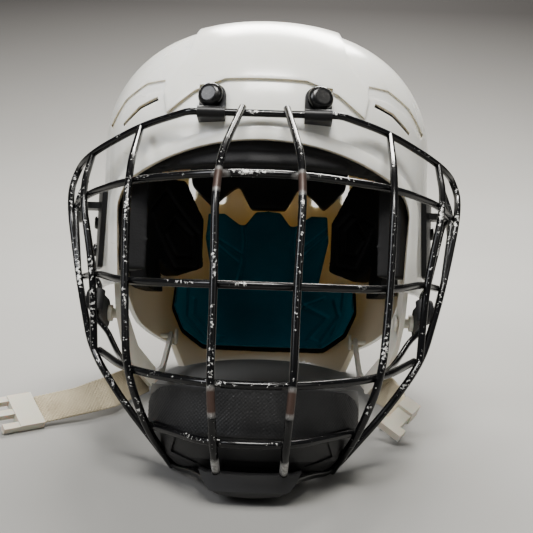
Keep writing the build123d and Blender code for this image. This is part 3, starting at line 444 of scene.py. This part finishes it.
teal, tree, output = new_material("teal_brushed_knit")
place = object_place(tree)
tone = ramp(tree, noise(tree, place, 24, 5), [(0.35, "034a5b"), (0.7, "075c70")])
# Painted highlight: faces turned away from straight ahead, such as the pads' rounded edges, take a
# brighter teal where light would catch them.
rim = lifted(tree, facing_share(tree, worn_turn(0, -1, 0.1)), 0.93, 0.6)
surface(
    tree,
    output,
    {"Roughness": 0.75, "Specular IOR Level": 0.2, "Sheen Weight": 0.1, "Sheen Roughness": 0.4},
    {"Base Color": mixed(tree, rim, tone, "087186"), "Normal": celled(tree, place, 1100, 0.3)},
)


def rounded_copy(node, voxel, passes, name, material):
    """A soft copy of a pad's solid: remeshed finely, its edges rounded by smoothing."""
    soft = new_piece(name, nodes[node].data.copy(), material)
    remesh = soft.modifiers.new("skin", "REMESH")
    remesh.mode = "VOXEL"
    remesh.voxel_size = voxel
    smooth = soft.modifiers.new("round", "SMOOTH")
    smooth.iterations = passes
    smooth.factor = 0.5
    graph = bpy.context.evaluated_depsgraph_get()
    done = bpy.data.meshes.new_from_object(soft.evaluated_get(graph))
    soft.modifiers.clear()
    soft.data = done
    done.materials.clear()
    done.materials.append(material)
    done.shade_smooth()
    done.name = name
    return soft


def read(mesh, what="co"):
    """A mesh's corners, or their normals, one row each."""
    rows = np.empty(len(mesh.vertices) * 3)
    mesh.vertices.foreach_get(what, rows)
    return rows.reshape(-1, 3)


def moved(mesh, shifts):
    """Moves every corner of a mesh by its own shift, in metres."""
    mesh.vertices.foreach_set("co", (read(mesh) + shifts).ravel())
    mesh.update()


def pressed(mesh, facing, path, half_width, depth):
    """Presses a groove into a soft mesh along worn places, as it is seen along the facing way."""
    facing = np.array(facing)
    spots = read(mesh)
    flat = spots - np.outer(spots @ facing, facing)
    stops = np.array([worn(*p) for p in path])
    stops = stops - np.outer(stops @ facing, facing)
    gap = np.full(len(flat), np.inf)
    for first, last in zip(stops[:-1], stops[1:]):
        along = last - first
        share = np.clip((flat - first) @ along / (along @ along), 0, 1)
        gap = np.minimum(gap, np.linalg.norm(flat - first - np.outer(share, along), axis=1))
    sink = depth * np.clip(1 - (gap / half_width) ** 2, 0, 1) ** 2
    sink[read(mesh, "normal") @ facing < 0.2] = 0
    moved(mesh, -np.outer(sink, facing))


def worn_places(mesh):
    """Every corner of a mesh as worn places in millimetres, one row each."""
    spots = read(mesh) * mm_per_metre - np.array((0, stance_shift_mm, stance_height_mm))
    back = spots[:, 1] * math.cos(stance_pitch) - spots[:, 2] * math.sin(stance_pitch)
    up = spots[:, 1] * math.sin(stance_pitch) + spots[:, 2] * math.cos(stance_pitch)
    return np.stack((spots[:, 0], back, up), axis=1)


fine_voxel, plain_voxel, brow_voxel = 0.0011, 0.0014, 0.0012
pads = {
    "brow_pad": ("front", foam, brow_voxel),
    "crown_pad_front": ("front", foam, plain_voxel),
    "temple_pad_left": ("front", foam, plain_voxel),
    "temple_pad_right": ("front", foam, plain_voxel),
    "crown_pad_rear": ("rear", foam, plain_voxel),
    "side_pad_left": ("rear", foam, fine_voxel),
    "side_pad_right": ("rear", foam, fine_voxel),
    "neck_pad_backing": ("rear", foam, plain_voxel),
    "occipital_pad": ("rear", teal, fine_voxel),
    "neck_pad": ("rear", teal, fine_voxel),
}
side_grooves_left = [
    [
        (-80.6, 164, -28), (-73, 190, -9), (-51.2, 217, -36.6),
        (-50.1, 217, -62.4), (-65.5, 199, -64.7), (-80.6, 164, -28),
    ],
    [
        (-67.3, 200, -27.7), (-56.1, 213, -38.9), (-55.4, 213, -54),
        (-65.4, 201, -55.7), (-73.6, 188, -39.9), (-67.3, 200, -27.7),
    ],
]
side_grooves_right = [
    [
        (61.9, 207, -19.2), (52.3, 216, -28.7), (51.6, 216, -57.5),
        (65.5, 200, -61.6), (76.9, 180, -31.5), (61.9, 207, -19.2),
    ],
    [
        (64.8, 203, -24.1), (57.4, 211, -32.2), (57.1, 211, -48.7),
        (65.4, 201, -51.1), (71.6, 192, -40.2), (64.8, 203, -24.1),
    ],
]
lobe_grooves = [
    [(-19, 233, -24), (-17.1, 233, -37.9), (-17.9, 232, -55), (-21.4, 231, -72)],
    [(21, 233, -22), (20, 233, -44.4), (23.9, 230, -70)],
    [(-44, 222, -35), (-19.7, 232, -48.9)],
    [(-43, 222, -39.6), (-22.5, 231, -55.3)],
    [(47, 222, -28), (26.1, 231, -44.4)],
    [(46, 222, -33), (27.8, 230, -49.9)],
]
neck_grooves = [
    [(-57.7, 202, -79), (-57.2, 197, -99.8), (-44.8, 205, -113.6), (-37, 210, -121)],
    [(58.8, 202, -76), (57, 199.5, -94.2), (50.2, 201, -110.3), (42, 207, -119.2)],
    [
        (-52, 207, -87), (-52, 204, -97.8), (-38.6, 210, -112.4),
        (-29.2, 215, -113.4), (-37.6, 209, -117.6), (-47, 205, -106),
    ],
    [
        (29.6, 222, -87.8), (46.5, 209, -96.9), (33.1, 214, -112.7),
        (41.8, 207, -115.6), (54.9, 201, -95.6), (52, 204, -84),
    ],
    [(29.6, 222, -87.8), (44, 210, -82)],
]
brow_crease = [
    (-57, 23, -27.5), (-46.6, 15, -24.4), (-35.2, 10, -22.4), (-24, 6, -21.1),
    (-7.4, 4, -20.2), (19.8, 5, -19.5), (42.2, 13, -20.6), (57.6, 23, -25.6),
]
grooves = {
    "side_pad_left": ((0.6, -0.8, 0), side_grooves_left),
    "side_pad_right": ((-0.6, -0.8, 0), side_grooves_right),
    "occipital_pad": ((0, -1, 0), lobe_grooves),
    "neck_pad": ((0, -1, 0.1), neck_grooves),
    "brow_pad": ((0, -0.6, -0.8), [brow_crease]),
}
round_passes = 8
groove_half_width, groove_depth = 0.0022, 0.0018
drawn_from_mm, drawn_over_mm, drawn_reach = 24, 12, 0.005
for node, (body, material, voxel) in pads.items():
    soft = rounded_copy(node, voxel, round_passes, node + "_foam", material)
    facing, paths = grooves.get(node, ((0, -1, 0), []))
    for path in paths:
        pressed(soft.data, worn_turn(*facing), path, groove_half_width, groove_depth)
    if node == "crown_pad_rear":
        height_mm = worn_places(soft.data)[:, 2]
        low_edge = np.clip((drawn_from_mm - height_mm) / drawn_over_mm, 0, 1)
        moved(soft.data, np.outer(low_edge, worn_turn(0, 0, -1)) * drawn_reach)
    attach(soft, body)
    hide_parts(node)


# Ear loops, their tails, studs and buttons. Flexible off-white polypropylene, yellowed a little;
# the loops hang from bosses inside the front shell and the tails are buttoned to the rear shell.
polypropylene = toned(
    "flexible_polypropylene",
    40,
    4,
    [(0.3, "d6d1c2"), (0.7, "e9e5d9")],
    {"Roughness": 0.45, "IOR": 1.49, "Subsurface Weight": 0.1, "Subsurface Scale": 0.002},
)
for name in (
    "ear_loop_left", "ear_loop_right", "ear_loop_bosses", "snap_studs",
    "loop_tail_left", "loop_tail_right", "tail_buttons",
):
    dress(name, polypropylene)


# Cage straps. Moulded black rubber that wraps the rear wire and snaps over the ear loop's stud.
rubber = grained(
    "moulded_rubber", "18181a", 700, 0.2, {"Roughness": 0.55, "Specular IOR Level": 0.4}
)
dress("cage_strap_left", rubber)
dress("cage_strap_right", rubber)


# Chin cup. Moulded in satin black nylon and hooked over the lower wires, with a pad of black rubber
# foam whose face is knurled in diamonds 2 mm apart below a plain rolled top edge.
satin = grained(
    "satin_nylon", "1b1b1c", 700, 0.2, {"Roughness": 0.5, "IOR": 1.53, "Specular IOR Level": 0.5}
)
dress("chin_cup", satin)
grip = toned(
    "textured_rubber_foam",
    60,
    5,
    [(0.35, "101011"), (0.7, "1b1b1c")],
    {"Roughness": 0.5, "Specular IOR Level": 0.4},
)
grip_voxel, grip_passes = 0.0006, 5
grip_axis_mm, grip_radius_mm, grip_top_mm, grip_skin_mm = 8, 60, -148.5, 1.6
knurl_mm, knurl_depth, knurl_slope = 2.0, 0.0004, 1.6
soft = rounded_copy("chin_pad", grip_voxel, grip_passes, "chin_pad_foam", grip)
spots = worn_places(soft.data)
outward = np.stack((spots[:, 0], spots[:, 1] - grip_axis_mm, np.zeros(len(spots))), axis=1)
distance = np.linalg.norm(outward, axis=1)
outward /= distance[:, None]
around = grip_radius_mm * np.arctan2(spots[:, 0], grip_axis_mm - spots[:, 1])
ridges = [
    np.abs(((around + way * spots[:, 2]) / knurl_mm) % 1 - 0.5) * 2 for way in (-1, 1)
]
sink = knurl_depth * (1 - np.minimum(*ridges) * knurl_slope).clip(0, 1)
sink[distance <= grip_radius_mm - grip_skin_mm] = 0
plain_edge = grip_top_mm + 0.5 * np.sin(around * 0.9) + 0.4 * np.sin(around * 2.3)
sink[spots[:, 2] >= plain_edge] = 0
outward = outward @ np.array([worn_turn(1, 0, 0), worn_turn(0, 1, 0), worn_turn(0, 0, 1)])
moved(soft.data, -outward * sink[:, None])
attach(soft, "cage")
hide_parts("chin_pad")


# Chin strap. Cream cotton webbing 20 mm wide, woven, stitched and frayed, grubby from wear. It
# comes from the ear loops and lies on the table; a two-part buckle of translucent nylon joins it.
webbing, tree, output = new_material("cotton_webbing")
place = object_place(tree)
tone = ramp(tree, noise(tree, place, 45, 5), [(0.3, "948870"), (0.7, "beb297")])
thread_depth = 0.0003
surface(
    tree,
    output,
    {"Roughness": 0.9, "Specular IOR Level": 0.2, "Sheen Weight": 0.2},
    {"Base Color": tone, "Normal": bumped(tree, noise(tree, place, 1400, 2), 0.5, thread_depth)},
)
webbing_width_mm, webbing_half_mm, mesh_step_mm = 20, 0.8, 0.36
thread_mm, thread_rise_mm = 2.2, 0.34
fray_mm, pucker_mm, seam_reach_mm = 0.25, 0.5, 0.7
selvedge_start, selvedge_share, selvedge_loss = 0.46, 0.04, 0.6
long_strip = [
    (-73.6, 21, 11.8, -111, 88), (-83, 0, 12.6, -106, 80), (-92, -22, 13, -130, 52),
    (-107, -34.5, 10.8, -142, 36), (-128.8, -49.2, 8.8, -145, 34),
]
short_strip = [
    (73.6, 21, 11.8, -69, -88), (83, 0, 12.6, -76, -80),
    (83.5, -22, 11.5, -93, -55), (81.3, -40.4, 9.9, -97, -40),
]
long_seams_mm, short_seams_mm = (52, 56, 83, 87), (52, 56)


def laid_faces(down, across):
    """The faces of a closed strip: its under side, its upper side and the rim between them."""
    lift = down * across
    faces = []
    for i in range(down - 1):
        for j in range(across - 1):
            corner = i * across + j
            quad = (corner, corner + 1, corner + across + 1, corner + across)
            faces.append(quad[::-1])
            faces.append(tuple(k + lift for k in quad))
    rim = list(range(across)) + [i * across + across - 1 for i in range(1, down)]
    rim += [(down - 1) * across + j for j in range(across - 2, -1, -1)]
    rim += [i * across for i in range(down - 2, 0, -1)]
    for first, last in zip(rim, rim[1:] + rim[:1]):
        faces.append((first, last, last + lift, first + lift))
    return faces


def laid_webbing(name, stations, seams):
    """A woven strip through stations of place in mm, heading and tilt; gives it and its length."""
    places = np.array([station[:3] for station in stations], float)
    gaps = np.linalg.norm(np.diff(places, axis=0), axis=1)
    lengths = np.concatenate(([0], np.cumsum(gaps)))
    rows = np.linspace(0, lengths[-1], int(lengths[-1] / mesh_step_mm))
    middle = np.stack([np.interp(rows, lengths, places[:, k]) for k in range(3)], axis=1)
    heading = np.radians(np.interp(rows, lengths, [station[3] for station in stations]))
    tilt = np.radians(np.interp(rows, lengths, [station[4] for station in stations]))
    level = np.stack((np.sin(heading), -np.cos(heading), 0 * heading), axis=1)
    over = level * np.cos(tilt)[:, None] + np.outer(np.sin(tilt), (0, 0, 1))
    ahead = np.stack((np.cos(heading), np.sin(heading), 0 * heading), axis=1)
    through = np.cross(ahead, over)
    columns = np.linspace(-0.5, 0.5, int(webbing_width_mm / mesh_step_mm))
    fray = fray_mm * (np.sin(rows * 2.7) * 0.6 + np.sin(rows * 5.3 + 1) * 0.4)
    reach = np.outer(1 + fray / webbing_width_mm, columns) * webbing_width_mm
    thread = 2 * np.pi / thread_mm
    weave = np.outer(np.cos(rows * thread), np.cos(reach[0] * thread)) * thread_rise_mm
    for seam in seams:
        stitches = 0.6 + 0.4 * np.cos(reach[0] * 2.2)
        weave -= np.outer(np.exp(-(((rows - seam) / seam_reach_mm) ** 2)), stitches) * pucker_mm
    selvedge = np.clip((np.abs(columns) - selvedge_start) / selvedge_share, 0, 1)
    half = webbing_half_mm * (1 - selvedge**2 * selvedge_loss)
    flat = middle[:, None, :] + over[:, None, :] * reach[:, :, None]
    sheets = [flat + through[:, None, :] * (way * (half + weave))[:, :, None] for way in (-1, 1)]
    corners = np.concatenate([sheet.reshape(-1, 3) for sheet in sheets]) / mm_per_metre
    mesh = bpy.data.meshes.new(name)
    mesh.from_pydata(corners.tolist(), [], laid_faces(len(rows), len(columns)))
    mesh.shade_smooth()
    return new_piece(name, mesh, webbing), float(lengths[-1]) / mm_per_metre


for node, stations, seams, carriers in (
    ("chin_strap_long", long_strip, long_seams_mm, ["backdrop", "strap_buckle"]),
    ("chin_strap_short", short_strip, short_seams_mm, ["backdrop", "strap_receiver"]),
):
    soft, length = laid_webbing(node + "_webbing", stations, seams)
    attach(soft, "front")
    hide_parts(node)

clear_nylon, tree, output = new_material("translucent_nylon")
surface(
    tree,
    output,
    {
        "Base Color": linear("bdb9aa"),
        "Roughness": 0.4,
        "Subsurface Weight": 0.4,
        "Subsurface Scale": 0.004,
        "IOR": 1.53,
    },
    {},
)
dress("strap_buckle", clear_nylon)
dress("strap_receiver", clear_nylon)
